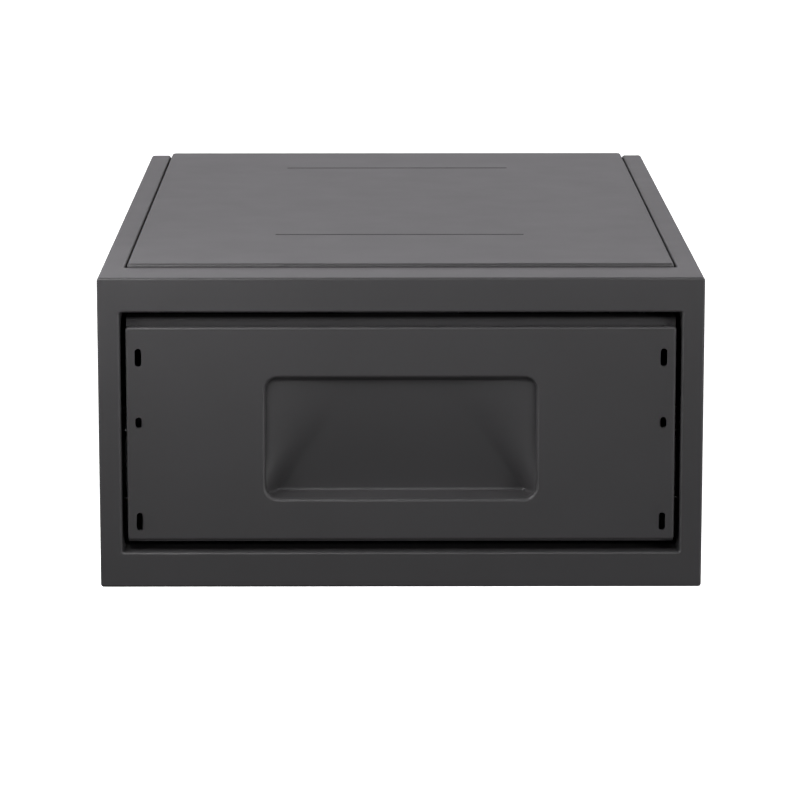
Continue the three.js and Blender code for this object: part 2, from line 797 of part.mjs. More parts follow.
// A hat section between the cabinet's side and the slide
function slideBracket(y) {
  const foot = shellInside - seat - bracketSheet / 2;
  const crown = bracketFace + bracketSheet / 2;
  const half = bracketCrown / 2;
  const path = bent([
    point(foot, y - half - bracketFoot), point(foot, y - half), point(crown, y - half),
    point(crown, y + half), point(foot, y + half), point(foot, y + half + bracketFoot),
  ], bracketBendRadius - bracketSheet / 2);
  const hat = alongZ(
    sheetOutline(path, bracketSheet),
    slideCentreHeight - bracketHeight / 2, slideCentreHeight + bracketHeight / 2);
  const hole = alongX(
    circle(y, slideCentreHeight, slideScrewRadius + seat),
    bracketFace - cutOverrun, bracketFace + cutOverrun);
  return cut(hat, [hole]);
}

// Flat head flush in the outer member's web, shank through the bracket
function slideScrew(y) {
  const profile = [
    [0, 0], [slideScrewHeadRadius, 0], [slideScrewHeadRadius, slideScrewHeadHeight / 2],
    [slideScrewRadius, slideScrewHeadHeight], [slideScrewRadius, slideScrewLength], [0, slideScrewLength],
  ];
  const screw = turned(profile, screwSteps).rotateY(Math.PI / 2);
  return screw.translate(slideBack - slideSheet, y, slideCentreHeight);
}

// Flat head in the inner member's web, shank through the tray's side, second head inside the tray
function rivet(y) {
  const reach = rivetHeadHeight + seat * 2 + traySheet + seat;
  const end = reach + rivetHeadHeight;
  const profile = [
    [0, 0], [rivetHeadRadius, 0], [rivetHeadRadius, rivetHeadHeight], [rivetRadius, rivetHeadHeight],
    [rivetRadius, reach], [rivetHeadRadius, reach], [rivetHeadRadius * headCrownShare, end], [0, end],
  ];
  const piece = turned(profile, screwSteps).rotateY(-Math.PI / 2);
  return piece.translate(slideBack - slideThickness + rivetHeadHeight + seat / 2, y, slideCentreHeight);
}

// The lock hangs from a hat section across the cabinet, under the two rails
function lockRail() {
  const top = railTop - railSheet - seat - lockRailSheet / 2;
  const crown = top - lockRailHeight + lockRailSheet;
  const half = lockRailWidth / 2;
  const path = bent([
    point(lockFromFront - half - lockRailFoot, top), point(lockFromFront - half, top),
    point(lockFromFront - half, crown), point(lockFromFront + half, crown),
    point(lockFromFront + half, top), point(lockFromFront + half + lockRailFoot, top),
  ], bracketBendRadius - lockRailSheet / 2);
  const end = shellInside - seat - railSheet - railBendRadius;
  return alongX(sheetOutline(path, lockRailSheet), -end, end);
}

const lockCaseHigh = railTop - railSheet - seat - lockRailHeight - seat;
const lockCaseLow = lockCaseHigh - lockCaseHeight;
const camHigh = lockCaseLow - camDrop;
const camLow = camHigh - camThickness;

function lockCase() {
  const outline = rectangle(
    lockCaseBevel - lockCaseLength / 2, lockCaseLength / 2 - lockCaseBevel,
    lockFromFront - lockCaseDepth / 2 + lockCaseBevel, lockFromFront + lockCaseDepth / 2 - lockCaseBevel,
    lockCaseCornerRadius);
  const body = closed(new THREE.ExtrudeGeometry(outline, {
    depth: lockCaseHeight - lockCaseBevel * 2, bevelThickness: lockCaseBevel, bevelSize: lockCaseBevel,
    bevelSegments: 1, curveSegments: cornerSteps,
  }).translate(0, 0, lockCaseLow + lockCaseBevel));
  const bore = alongZ(
    circle(0, lockFromFront, spindleRadius + spindleBoreGap),
    lockCaseLow - cutOverrun, lockCaseLow + spindleReach);
  return cut(body, [bore]);
}

// The spindle turns in the case, and the cam and its screw turn with it
function lockSpindle() {
  const high = lockCaseLow + spindleReach - seat;
  const shaft = alongZ(circle(0, lockFromFront, spindleRadius), camLow, high);
  const bore = alongZ(
    circle(0, lockFromFront, camScrewRadius + seat), camLow - cutOverrun, camLow + camScrewLength + seat);
  return cut(shaft, [bore]);
}

function lockCam() {
  const end = camWidth / 2;
  const outline = rectangle(
    -end, end, lockFromFront - camLength + end, lockFromFront + end, camWidth * roundEndShare);
  const hole = circle(0, lockFromFront, spindleRadius + seat);
  return cut(alongZ(outline, camLow, camHigh), [alongZ(hole, camLow - cutOverrun, camHigh + cutOverrun)]);
}

function camScrew() {
  const profile = [
    [0, camScrewLength], [camScrewRadius, camScrewLength], [camScrewRadius, -seat],
    [camScrewHeadRadius, -seat], [camScrewHeadRadius, -camScrewHeadHeight / 2 - seat],
    [camScrewHeadRadius * headCrownShare, -camScrewHeadHeight - seat], [0, -camScrewHeadHeight - seat],
  ];
  return turned(profile, screwSteps).translate(0, lockFromFront, camLow);
}

// The strike hangs on the front panel, and its rear tab stands behind the turned cam
function strikeBracket() {
  const leg = panelBack + seat + strikeSheet / 2;
  const top = camHigh + strikeLegAbove;
  const base = camHigh - strikeTabHeight + strikeSheet / 2;
  const tab = lockFromFront + camWidth / 2 + strikeBlockGap + strikeSheet / 2;
  const path = bent(
    [point(leg, top), point(leg, base), point(tab, base), point(tab, camHigh)],
    strikeBendRadius - strikeSheet / 2);
  return alongX(sheetOutline(path, strikeSheet), strikeFromSpindle, strikeFromSpindle + strikeWidth);
}

function mesh(name, geometry, finish) {
  const shaded = geometry.toNonIndexed();
  shaded.computeVertexNormals();
  const piece = new THREE.Mesh(shaded, new THREE.MeshStandardMaterial(finish));
  piece.name = name;
  return piece;
}

// A piece of the right side and its mirror image on the left
function pair(name, geometry, finish) {
  return [mesh(`${name}_right`, geometry, finish), mesh(`${name}_left`, mirrored(geometry), finish)];
}

function cabinet() {
  const brackets = Object.entries(bracketPlaces()).flatMap(([end, y]) => [
    ...pair(`slide_bracket_${end}`, slideBracket(y), zincPlate),
    ...pair(`slide_screw_${end}`, slideScrew(y), blackScrew),
  ]);
  return [
    mesh('cabinet_shell', cabinetShell(), powderCoat),
    mesh('front_frame', frontFrame(), powderCoat),
    mesh('top_plate', topPlate(), powderCoat),
    mesh('back_panel', backPanel(), powderCoat),
    ...backScrewPlaces().map((place) => mesh(`back_screw_${place.name}`, backScrew(place), blackScrew)),
    ...pair('top_rail', topRail(), powderCoat),
    ...brackets,
    ...pair('slide_outer', slideOuter(), zincPlate),
    ...pair('slide_buffer', slideBuffer(), blackPlastic),
    mesh('lock_rail', lockRail(), powderCoat),
    mesh('lock_case', lockCase(), blackPlastic),
  ];
}

function slides() {
  return [
    ...pair('slide_middle', slideMiddle(), zincPlate),
    ...pair('outer_cage', outerCage(), bearingSteel),
    ...pair('inner_cage', innerCage(), bearingSteel),
  ];
}

function drawer() {
  const [frontRivet, rearRivet] = rivetPlaces();
  return [
    mesh('drawer_fascia', drawerFascia(), powderCoat),
    mesh('drawer_front_panel', drawerFrontPanel(), powderCoat),
    mesh('drawer_tray', drawerTray(), powderCoat),
    ...pair('slide_inner', slideInner(), zincPlate),
    ...pair('tray_rivet_front', rivet(frontRivet), bearingSteel),
    ...pair('tray_rivet_rear', rivet(rearRivet), bearingSteel),
    mesh('strike_bracket', strikeBracket(), zincPlate),
  ];
}

function lock() {
  return [
    mesh('lock_spindle', lockSpindle(), bearingSteel),
    mesh('lock_cam', lockCam(), zincPlate),
    mesh('cam_screw', camScrew(), blackScrew),
  ];
}

const safe = new THREE.Group();
safe.add(...cabinet(), ...slides(), ...drawer(), ...lock());
safe.position.y = -cabinetDepth / 2;

export default safe;
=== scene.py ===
# %% [markdown]
# # A drawer safe for under a desk
#
# The safe is a flat steel cabinet that hangs under a desk top, with one drawer. A imported CAD model gives
# its sizes and its moving bodies. This lesson models what shows of it as fine sheet metal around that
# frame, and gives each piece its real finish. The frame is loaded first.

# %% Load the imported frame
import json
import math
from collections import namedtuple

import bmesh
import bpy
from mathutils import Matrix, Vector


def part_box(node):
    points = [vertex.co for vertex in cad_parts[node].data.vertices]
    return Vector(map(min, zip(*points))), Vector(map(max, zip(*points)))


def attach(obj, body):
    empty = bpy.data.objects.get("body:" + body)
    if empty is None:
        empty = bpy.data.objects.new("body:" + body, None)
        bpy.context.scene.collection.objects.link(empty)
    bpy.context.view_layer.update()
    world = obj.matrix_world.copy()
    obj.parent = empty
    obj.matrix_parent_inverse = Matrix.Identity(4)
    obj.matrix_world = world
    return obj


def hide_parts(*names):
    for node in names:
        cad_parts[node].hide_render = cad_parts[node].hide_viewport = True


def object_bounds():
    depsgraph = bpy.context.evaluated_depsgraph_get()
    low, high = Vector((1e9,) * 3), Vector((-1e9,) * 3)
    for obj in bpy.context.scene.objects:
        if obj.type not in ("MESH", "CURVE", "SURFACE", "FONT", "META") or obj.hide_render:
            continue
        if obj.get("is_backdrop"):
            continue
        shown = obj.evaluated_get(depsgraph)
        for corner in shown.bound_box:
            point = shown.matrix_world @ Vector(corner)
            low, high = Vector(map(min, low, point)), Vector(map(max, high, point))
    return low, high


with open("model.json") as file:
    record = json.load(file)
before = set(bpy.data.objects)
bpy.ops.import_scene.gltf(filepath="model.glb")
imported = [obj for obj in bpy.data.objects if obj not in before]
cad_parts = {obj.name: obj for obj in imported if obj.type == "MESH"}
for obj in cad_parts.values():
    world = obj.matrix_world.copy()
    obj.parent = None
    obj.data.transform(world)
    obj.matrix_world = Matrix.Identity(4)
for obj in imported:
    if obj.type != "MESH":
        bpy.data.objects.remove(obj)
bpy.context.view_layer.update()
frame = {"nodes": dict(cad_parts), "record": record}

# %% [markdown]
# ## Millimetres
#
# Blender works in metres, and a metal worker thinks in millimetres. The safe's sizes are all in
# millimetres: x from the middle of the cabinet, y back from its front, and z up from its underside. One
# function turns such a place into Blender's metres, one reads a place back, and one measures a CAD node,
# so that new pieces follow the frame.

# %% Places and sizes in millimetres
MM = 0.001
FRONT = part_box("front_frame")[0].y
Box = namedtuple("Box", "left right front back low high")


def place(x, y, z):
    return Vector((x * MM, FRONT + y * MM, z * MM))


def in_mm(point):
    return point.x / MM, (point.y - FRONT) / MM, point.z / MM


def measure(node):
    lowest, highest = (in_mm(corner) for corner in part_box(node))
    return Box(lowest[0], highest[0], lowest[1], highest[1], lowest[2], highest[2])


print("front frame:", [round(side, 1) for side in measure("front_frame")])

# %% [markdown]
# ## The camera
#
# The picture was taken from straight ahead, a little above and some way off, so the upright edges of the
# front hardly converge. A long lens does the same. The camera stands 2.4 m in front of the safe and looks
# down by eleven degrees. Its place is in metres and its turns are in degrees.

# %% Camera
SENSOR_WIDTH = 36
LENS = 176.2
CAMERA_SPOT = (-0.0137, -2.7184, 0.5791)
LOOK_DOWN = 10.76
LOOK_RIGHT = 0.31

camera_data = bpy.data.cameras.new("long_lens")
camera_data.sensor_width = SENSOR_WIDTH
camera_data.lens = LENS
camera = bpy.data.objects.new("camera", camera_data)
bpy.context.scene.collection.objects.link(camera)
camera.location = CAMERA_SPOT
camera.rotation_euler = (math.radians(90 - LOOK_DOWN), 0, math.radians(-LOOK_RIGHT))
bpy.context.scene.camera = camera
bpy.context.scene.view_settings.view_transform = "Standard"
print("camera height:", round(camera.location.z, 3), "m")

# %% [markdown]
# ## Modelling helpers
#
# Sheet metal starts as a flat blank. It is folded by extruding an edge, its folds are rounded by a bevel,
# and a Solidify modifier gives it its thickness. Operators act on all that is selected, so everything is
# deselected first, and edges and faces are then chosen by their place.

# %% Start, select and shape
TOLERANCE = 0.02


def near(value, target):
    return abs(value - target) < TOLERANCE


def alone(piece):
    bpy.ops.object.select_all(action="DESELECT")
    piece.select_set(True)
    bpy.context.view_layer.objects.active = piece


def named(name, size=None):
    """Names the new object, sizes it along each of its own axes, and puts its place in its mesh."""
    piece = bpy.context.object
    piece.name = name
    piece.data.name = name
    if size:
        piece.scale = [side * MM for side in size]
    bpy.ops.object.transform_apply(location=True, rotation=True, scale=True)
    return piece


def edit(piece):
    alone(piece)
    bpy.ops.object.mode_set(mode="EDIT")
    bpy.ops.mesh.select_all(action="DESELECT")


def leave():
    bpy.ops.object.mode_set(mode="OBJECT")


def choose(piece, kind, test, faces=None):
    """In edit mode, selects the edges or faces whose corners all pass the test of x, y and z.

    With a number of faces, it takes only the edges in which that many faces meet.
    """
    bpy.ops.mesh.select_mode(type=kind)
    bpy.ops.mesh.select_all(action="DESELECT")
    net = bmesh.from_edit_mesh(piece.data)
    chosen = [part for part in (net.edges if kind == "EDGE" else net.faces)
              if all(test(*in_mm(corner.co)) for corner in part.verts)]
    if faces:
        chosen = [edge for edge in chosen if len(edge.link_faces) == faces]
    if not chosen:
        raise RuntimeError(f"nothing chosen on {piece.name}")
    for part in chosen:
        part.select_set(True)
    bmesh.update_edit_mesh(piece.data)


def shift(x=0, y=0, z=0):
    bpy.ops.transform.translate(value=(x * MM, y * MM, z * MM))


def extrude(x=0, y=0, z=0):
    bpy.ops.mesh.extrude_region_move(TRANSFORM_OT_translate={"value": (x * MM, y * MM, z * MM)})


def bevel(radius, steps=6, affect="EDGES"):
    bpy.ops.mesh.bevel(offset=radius * MM, segments=steps, profile=0.5, affect=affect, loop_slide=False)


def point_outwards():
    bpy.ops.mesh.select_all(action="SELECT")
    bpy.ops.mesh.remove_doubles(threshold=0.001 * MM)
    bpy.ops.mesh.normals_make_consistent(inside=False)


# %% [markdown]
# Modifiers do what holds for a whole piece. Solidify gives the sheet its thickness, a narrow Bevel takes
# the sharpness off its cut edges, and Boolean punches and welds. Each is applied at once, so that the
# next step works on the real mesh.

# %% Thicken, soften, cut and weld
FINE_EDGE = 0.25
SHARP_ANGLE = 50


def modifier(piece, kind, **settings):
    alone(piece)
    bpy.ops.object.modifier_add(type=kind)
    made = piece.modifiers[-1]
    for setting, value in settings.items():
        setattr(made, setting, value)
    bpy.ops.object.modifier_apply(modifier=made.name)


def thicken(piece, sheet, side=-1):
    modifier(piece, "SOLIDIFY", thickness=sheet * MM, offset=side, use_even_offset=True)


def soften(piece, width=FINE_EDGE, steps=2):
    modifier(piece, "BEVEL", width=width * MM, segments=steps, limit_method="ANGLE",
             angle_limit=math.radians(SHARP_ANGLE))


def combine(piece, operation, other):
    modifier(piece, "BOOLEAN", operation=operation, solver="EXACT", object=other)
    alone(other)
    bpy.ops.object.delete()


def cut_out(piece, cutter):
    combine(piece, "DIFFERENCE", cutter)


def joined(pieces):
    alone(pieces[0])
    for piece in pieces:
        piece.select_set(True)
    bpy.ops.object.join()
    return bpy.context.object


# %% [markdown]
# A blank is a flat sheet at its place, and its corners are rounded while it is still flat, as a shop cuts
# them before it folds. A blank also makes a punch: extruded through the sheet, it cuts a hole of its own
# outline.

# %% Blanks and punches
# A cutter starts or ends this far outside what it cuts
CLEAR = 1
# A punch for a sheet is this long
THROUGH = 4
# Round ends take a little less than half the width, so that their corners don't meet
ROUND_END = 0.499


def flat_sheet(name, width, height, spot, turn, radius, steps):
    bpy.ops.object.select_all(action="DESELECT")
    bpy.ops.mesh.primitive_plane_add(size=1, location=spot, rotation=turn)
    piece = named(name, (width, height, 1))
    if radius:
        edit(piece)
        bpy.ops.mesh.select_all(action="SELECT")
        bevel(radius, steps, "VERTICES")
        leave()
    return piece


def upright(name, left, right, low, high, y, radius=0, steps=4):
    """A blank that faces the front."""
    spot = place((left + right) / 2, y, (low + high) / 2)
    return flat_sheet(name, right - left, high - low, spot, (math.pi / 2, 0, 0), radius, steps)


def lying(name, left, right, front, back, z, radius=0, steps=6):
    """A blank that faces up."""
    spot = place((left + right) / 2, (front + back) / 2, z)
    return flat_sheet(name, right - left, back - front, spot, (0, 0, 0), radius, steps)


def standing(name, x, front, back, low, high, radius=0, steps=8):
    """A blank that faces the side."""
    spot = place(x, (front + back) / 2, (low + high) / 2)
    return flat_sheet(name, high - low, back - front, spot, (0, math.pi / 2, 0), radius, steps)


def block(name, left, right, front, back, low, high):
    bpy.ops.object.select_all(action="DESELECT")
    bpy.ops.mesh.primitive_cube_add(
        size=1, location=place((left + right) / 2, (front + back) / 2, (low + high) / 2))
    return named(name, (right - left, back - front, high - low))


def punch(piece, blank, x=0, y=0, z=0):
    """Extrudes a flat blank into a punch, and takes it out of the piece."""
    edit(blank)
    bpy.ops.mesh.select_all(action="SELECT")
    extrude(x, y, z)
    point_outwards()
    leave()
    cut_out(piece, blank)


# %% [markdown]
# ## Light
#
# Two strips close above the front, the left one stronger, make it brightest at its top left. Two low
# softboxes further off reach into the scoop, and still light the drawer's front when it is open. A wide
# one behind gives the top its faintly violet sheen, and two at the sides light the sides. Places and
# sizes are in metres, and power is in watts.

# %% Softboxes
SAFE_FRONT = (0, -0.305, 0.1)
SAFE_MIDDLE = (0, 0, 0.1)
SAFE_TOP = (0, 0, 0.2)
WHITE = (1, 1, 1)
FAINT_VIOLET = (1, 0.97, 1.02)


def softbox(name, spot, target, width, height, power, colour=WHITE):
    data = bpy.data.lights.new(name, "AREA")
    data.shape = "RECTANGLE"
    data.size = width
    data.size_y = height
    data.energy = power
    data.color = colour
    lamp = bpy.data.objects.new(name, data)
    bpy.context.scene.collection.objects.link(lamp)
    lamp.location = spot
    lamp.rotation_euler = (Vector(target) - Vector(spot)).to_track_quat("-Z", "Y").to_euler()
    lamp.visible_camera = False


softbox("near_left_strip", (-0.3, -0.5, 0.42), SAFE_FRONT, 0.5, 0.12, 2.3)
softbox("near_right_strip", (0.3, -0.5, 0.42), SAFE_FRONT, 0.5, 0.12, 0.8)
softbox("low_left_softbox", (-2.2, -2.2, 0.3), SAFE_FRONT, 0.9, 0.5, 16)
softbox("low_right_softbox", (2.2, -2.2, 0.3), SAFE_FRONT, 0.9, 0.5, 30)
softbox("rear_softbox", (0, 3.4, 1.4), SAFE_TOP, 3.5, 1.6, 26, FAINT_VIOLET)
softbox("left_side_softbox", (-3, 0.8, 1), SAFE_MIDDLE, 1.5, 1.5, 40)
softbox("right_side_softbox", (3, 0.8, 1), SAFE_MIDDLE, 1.5, 1.5, 40)

# %% [markdown]
# ## Finishes
#
# One function turns a colour, written as on a paint card, into the linear light that the shader wants,
# and one small function adds a node with its settings and links. Three more let a pattern vary the
# colour, the gloss and the height of a surface.

# %% Colour and node helpers
def linear(paint):
    """An sRGB colour, such as "3b3c3e", as linear light."""
    shares = [int(paint[i:i + 2], 16) / 255 for i in (0, 2, 4)]
    return [*(s / 12.92 if s <= 0.04045 else ((s + 0.055) / 1.055) ** 2.4 for s in shares), 1]


def add(tree, kind, inputs=None, **settings):
    node = tree.nodes.new(kind)
    for setting, value in settings.items():
        setattr(node, setting, value)
    for socket, value in (inputs or {}).items():
        if isinstance(value, bpy.types.NodeSocket):
            tree.links.new(value, node.inputs[socket])
        else:
            node.inputs[socket].default_value = value
    return node


def new_finish(name, **sockets):
    """A material, its shader, and the place on the piece that its patterns read."""
    finish = bpy.data.materials.new(name)
    finish.use_nodes = True
    shader = finish.node_tree.nodes["Principled BSDF"]
    for socket, value in sockets.items():
        shader.inputs[socket.replace("_", " ")].default_value = value
    return finish, shader, add(finish.node_tree, "ShaderNodeTexCoord").outputs["Object"]


def per_metre(size_in_mm):
    """The scale of a noise whose spots are about this large."""
    return 1 / (size_in_mm * MM)


def spots(where, size_in_mm, detail=3.0):
    noise = add(where.id_data, "ShaderNodeTexNoise",
                {"Vector": where, "Scale": per_metre(size_in_mm), "Detail": detail})
    return noise.outputs["Fac"]


def vary_colour(shader, pattern, dark, light):
    tree = shader.id_data
    tint = add(tree, "ShaderNodeMix", {0: pattern, 6: linear(dark), 7: linear(light)}, data_type="RGBA")
    tree.links.new(tint.outputs[2], shader.inputs["Base Color"])


def vary_gloss(shader, pattern, smoothest, roughest):
    tree = shader.id_data
    gloss = add(tree, "ShaderNodeMapRange", {"Value": pattern, "To Min": smoothest, "To Max": roughest})
    tree.links.new(gloss.outputs["Result"], shader.inputs["Roughness"])


def vary_height(shader, pattern, strength, height):
    tree = shader.id_data
    bump = add(tree, "ShaderNodeBump", {"Height": pattern, "Strength": strength, "Distance": height * MM})
    tree.links.new(bump.outputs["Normal"], shader.inputs["Normal"])


# %% [markdown]
# ### Powder-coated steel
#
# The cabinet and the drawer are mild steel, sprayed with dark grey powder and baked. The coat melts into
# a satin skin with a very slight orange peel. A wide, faint noise varies the grey as an uneven coat does,
# a smaller one varies the gloss, and bumps a little over a millimetre across make the peel.

# %% Powder coat
CLOUD = 120
GLOSS_SPOT = 30
PEEL = 1.4
PEEL_HEIGHT = 0.05

satin_powder, shader, where = new_finish("satin_powder_coat", IOR=1.5, Metallic=0.0)
vary_colour(shader, spots(where, CLOUD), "393839", "3e3d3f")
vary_gloss(shader, spots(where, GLOSS_SPOT), 0.48, 0.54)
vary_height(shader, spots(where, PEEL, 2.0), 0.07, PEEL_HEIGHT)
print("finish:", satin_powder.name)

# %% [markdown]
# ### Zinc plate, bearing steel, black oxide and moulded nylon
#
# The slides and brackets are rolled steel with a bright zinc plate: a pale metal whose gloss runs in
# faint streaks along the rolling direction. Balls and cages are plain hardened steel, smoother and a
# little darker, and the tray's rivets and the lock's spindle have the same bare look. Screws have a black
# oxide skin, which is dark and half matt. The slides' stops and the lock's case are moulded nylon with a
# fine spark-eroded grain.

# %% Metals and nylon
def metal(name, dull, bright, smoothest, roughest, streaks):
    """A bare or plated metal. The streaks give the scale of its gloss along X, Y and Z, in millimetres."""
    finish, shader, where = new_finish(name, Metallic=1.0)
    tree = finish.node_tree
    scales = [per_metre(size) for size in streaks]
    stretch = add(tree, "ShaderNodeMapping", {"Vector": where, "Scale": scales}).outputs["Vector"]
    streak = add(tree, "ShaderNodeTexNoise", {"Vector": stretch, "Scale": 1.0, "Detail": 4.0}).outputs["Fac"]
    vary_gloss(shader, streak, smoothest, roughest)
    vary_colour(shader, streak, dull, bright)
    return finish


def grained(name, dark, light, smoothest, roughest, grain, height):
    """A dark skin that is no metal, with a fine grain."""
    finish, shader, where = new_finish(name, IOR=1.5)
    pattern = spots(where, grain)
    vary_colour(shader, pattern, dark, light)
    vary_gloss(shader, pattern, smoothest, roughest)
    vary_height(shader, pattern, 0.3, height)
    return finish


zinc_plate = metal("bright_zinc_plate", "a6a9ad", "c4c6c8", 0.26, 0.42, (1.2, 60, 1.2))
bearing_steel = metal("hardened_bearing_steel", "9a9b9e", "b4b4b6", 0.16, 0.28, (2, 2, 2))
black_oxide = grained("black_oxide_steel", "161618", "222225", 0.34, 0.48, 0.8, 0.02)
moulded_nylon = grained("moulded_black_nylon", "1a1a1c", "202023", 0.5, 0.62, 0.6, 0.03)
finishes = {
    "powder_coated_steel": satin_powder,
    "zinc_plated_steel": zinc_plate,
    "bearing_steel": bearing_steel,
    "black_screws": black_oxide,
    "black_plastic": moulded_nylon,
}
print("finishes:", sorted(finishes))

# %% [markdown]
# ## Finishing a piece
#
# Each finished piece gets smooth shading whose normals lean on the large flat faces, so that a flat panel
# stays flat right up to its bends. It then takes the finish of its slot, rides on its CAD body and stands
# for its CAD node.

# %% Finish a piece
def complete(piece, slot, body, node):
    alone(piece)
    bpy.ops.object.shade_smooth()
    modifier(piece, "WEIGHTED_NORMAL", mode="FACE_AREA", weight=50, keep_sharp=True)
    piece.data.materials.clear()
    piece.data.materials.append(finishes[slot])
    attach(piece, body)
    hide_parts(node)
    print(piece.name, len(piece.data.polygons), "faces")


# %% [markdown]
# ## Front frame
#
# The frame is a flat steel ring on the cabinet's front, folded back round the drawer's opening. Two flat
# blanks with rounded corners are bridged into the ring, because a bridge leaves clean loops to fold. The
# inner loop is extruded back, and the fold gets its round from a bevel.

# %% Rings and their edges
def ring(outside, inside):
    """Takes the faces out of two blanks, and bridges their outlines."""
    piece = joined([outside, inside])
    edit(piece)
    bpy.ops.mesh.select_all(action="SELECT")
    bpy.ops.mesh.delete(type="ONLY_FACE")
    bpy.ops.mesh.select_mode(type="EDGE")
    bpy.ops.mesh.select_all(action="SELECT")
    bpy.ops.mesh.bridge_edge_loops()
    leave()
    return piece


def hole_edge(box):
    """A test for the edge of a hole, and of what is folded or drawn from it."""
    def on_edge(x, y, z):
        return abs(x) < box.right + TOLERANCE and box.low - TOLERANCE < z < box.high + TOLERANCE

    return on_edge


def outer_edge(box, corner):
    """A test for the outer edge of a sheet's front face, with its rounded corners."""
    reach = corner + TOLERANCE

    def on_edge(x, y, z):
        beside = abs(x) > box.right - reach
        return near(y, box.front) and (beside or z < box.low + reach or z > box.high - reach)

    return on_edge


# %% Front frame
STEEL_FRAME = 1.6
FRAME_FOLD = 1.5
FRAME_EDGE = 1.4
FRAME_CORNER = 1.8
OPENING_CORNER = 1.2
STILE = 14
TOP_RAIL = 22
BOTTOM_RAIL = 22.4

size = measure("front_frame")
opening = Box(size.left + STILE, size.right - STILE, size.front, size.back,
              BOTTOM_RAIL, size.high - TOP_RAIL)
outside = upright("front_frame_steel", size.left, size.right, size.low, size.high, size.front, FRAME_CORNER)
inside = upright("opening", opening.left, opening.right, opening.low, opening.high, size.front,
                 OPENING_CORNER)
front_frame = ring(outside, inside)
edit(front_frame)
round_opening = hole_edge(opening)
choose(front_frame, "EDGE", round_opening, faces=1)
extrude(y=size.back - size.front)
choose(front_frame, "EDGE", lambda x, y, z: near(y, size.front) and round_opening(x, y, z))
bevel(FRAME_FOLD, 8)
point_outwards()
leave()
thicken(front_frame, STEEL_FRAME)
edit(front_frame)
choose(front_frame, "EDGE", outer_edge(size, FRAME_CORNER))
bevel(FRAME_EDGE)
leave()
soften(front_frame)
complete(front_frame, "powder_coated_steel", "cabinet", "front_frame")

# %% [markdown]
# ## Cabinet shell
#
# The shell is one folded sheet: underside, two sides, and a border that runs round three sides of the
# top. It starts as a cube without ends. Its long edges are rounded, the top is parted by three bisecting
# planes, the middle is taken out, and the edge of that opening is folded down as a lip.

# %% Folded box of the shell
STEEL_SHELL = 1.5
SHELL_FOLD = 2.2

size = measure("cabinet_shell")
shell = block("cabinet_shell_steel", size.left, size.right, size.front, size.back, size.low, size.high)
edit(shell)
for end_face in (size.front, size.back):
    choose(shell, "FACE", lambda x, y, z: near(y, end_face))
    bpy.ops.mesh.delete(type="FACE")
bpy.ops.mesh.select_mode(type="EDGE")
bpy.ops.mesh.select_all(action="DESELECT")
net = bmesh.from_edit_mesh(shell.data)
for edge in net.edges:
    start, end = edge.verts
    edge.select_set(abs(end.co.y - start.co.y) > TOLERANCE * MM)
bmesh.update_edit_mesh(shell.data)
bevel(SHELL_FOLD, 8)
print("shell:", round(size.right - size.left), "mm wide")

# %% Border and lip of the shell
BORDER = 15
BORDER_FRONT = 44
BORDER_LIP = 10

border_edge = size.right - BORDER
sideways = (1, 0, 0)
lengthwise = (0, 1, 0)


def in_border(x, y, z):
    return near(z, size.high) and abs(x) < border_edge + TOLERANCE and y > BORDER_FRONT - TOLERANCE


for cut_x, cut_y, normal in ((border_edge, 0, sideways), (-border_edge, 0, sideways),
                             (0, BORDER_FRONT, lengthwise)):
    choose(shell, "FACE", lambda x, y, z: near(z, size.high))
    bpy.ops.mesh.bisect(plane_co=place(cut_x, cut_y, 0), plane_no=normal)
choose(shell, "FACE", in_border)
bpy.ops.mesh.delete(type="FACE")
choose(shell, "EDGE", in_border)
extrude(z=-BORDER_LIP)
choose(shell, "EDGE", in_border)
bevel(SHELL_FOLD)
point_outwards()
leave()
thicken(shell, STEEL_SHELL)
soften(shell)
complete(shell, "powder_coated_steel", "cabinet", "cabinet_shell")

# %% [markdown]
# ## Top plate
#
# The plate lies in the border and stands two millimetres proud of it, so that only the plate meets the
# desk. It is a shallow lid, folded down all round. Two long thin slits take hanging tabs.

# %% Top plate
PLATE_CORNER = 3
PLATE_FOLD = 1.8
SLIT_LENGTH = 166
SLIT_WIDTH = 3.2
SLIT_PLACES = (173, 518)

size = measure("top_plate")
plate = lying("top_plate_steel", size.left, size.right, size.front, size.back, size.high, PLATE_CORNER)
edit(plate)
choose(plate, "EDGE", lambda x, y, z: True, faces=1)
extrude(z=size.low - size.high)
choose(plate, "EDGE", lambda x, y, z: near(z, size.high))
bevel(PLATE_FOLD)
point_outwards()
leave()
thicken(plate, STEEL_SHELL)
for far in SLIT_PLACES:
    slit = lying("slit", -SLIT_LENGTH / 2, SLIT_LENGTH / 2, far - SLIT_WIDTH / 2, far + SLIT_WIDTH / 2,
                 size.low, SLIT_WIDTH * ROUND_END)
    punch(plate, slit, z=size.high + 2 * CLEAR - size.low)
soften(plate)
complete(plate, "powder_coated_steel", "cabinet", "top_plate")

# %% [markdown]
# ## Drawer fascia
#
# The fascia is one pressed sheet. A flat ring is bridged between its outline and the outline of the
# finger scoop. The straight sides of both are first cut into short pieces, so that the press has a fine
# mesh to work on. The outer edge of the ring is folded back.

# %% Fascia outline and scoop outline
STEEL_FASCIA = 1.3
FASCIA_FOLD = 1.5
FASCIA_CORNER = 2
FASCIA_DROP = 1
SIDE_RETURN = 7.7
PIECES_ALONG = 40
PIECES_ACROSS = 18
SCOOP_WIDTH = 175
SCOOP_HEIGHT = 81.8
SCOOP_DROP = 30.4
SCOOP_CORNER = 10

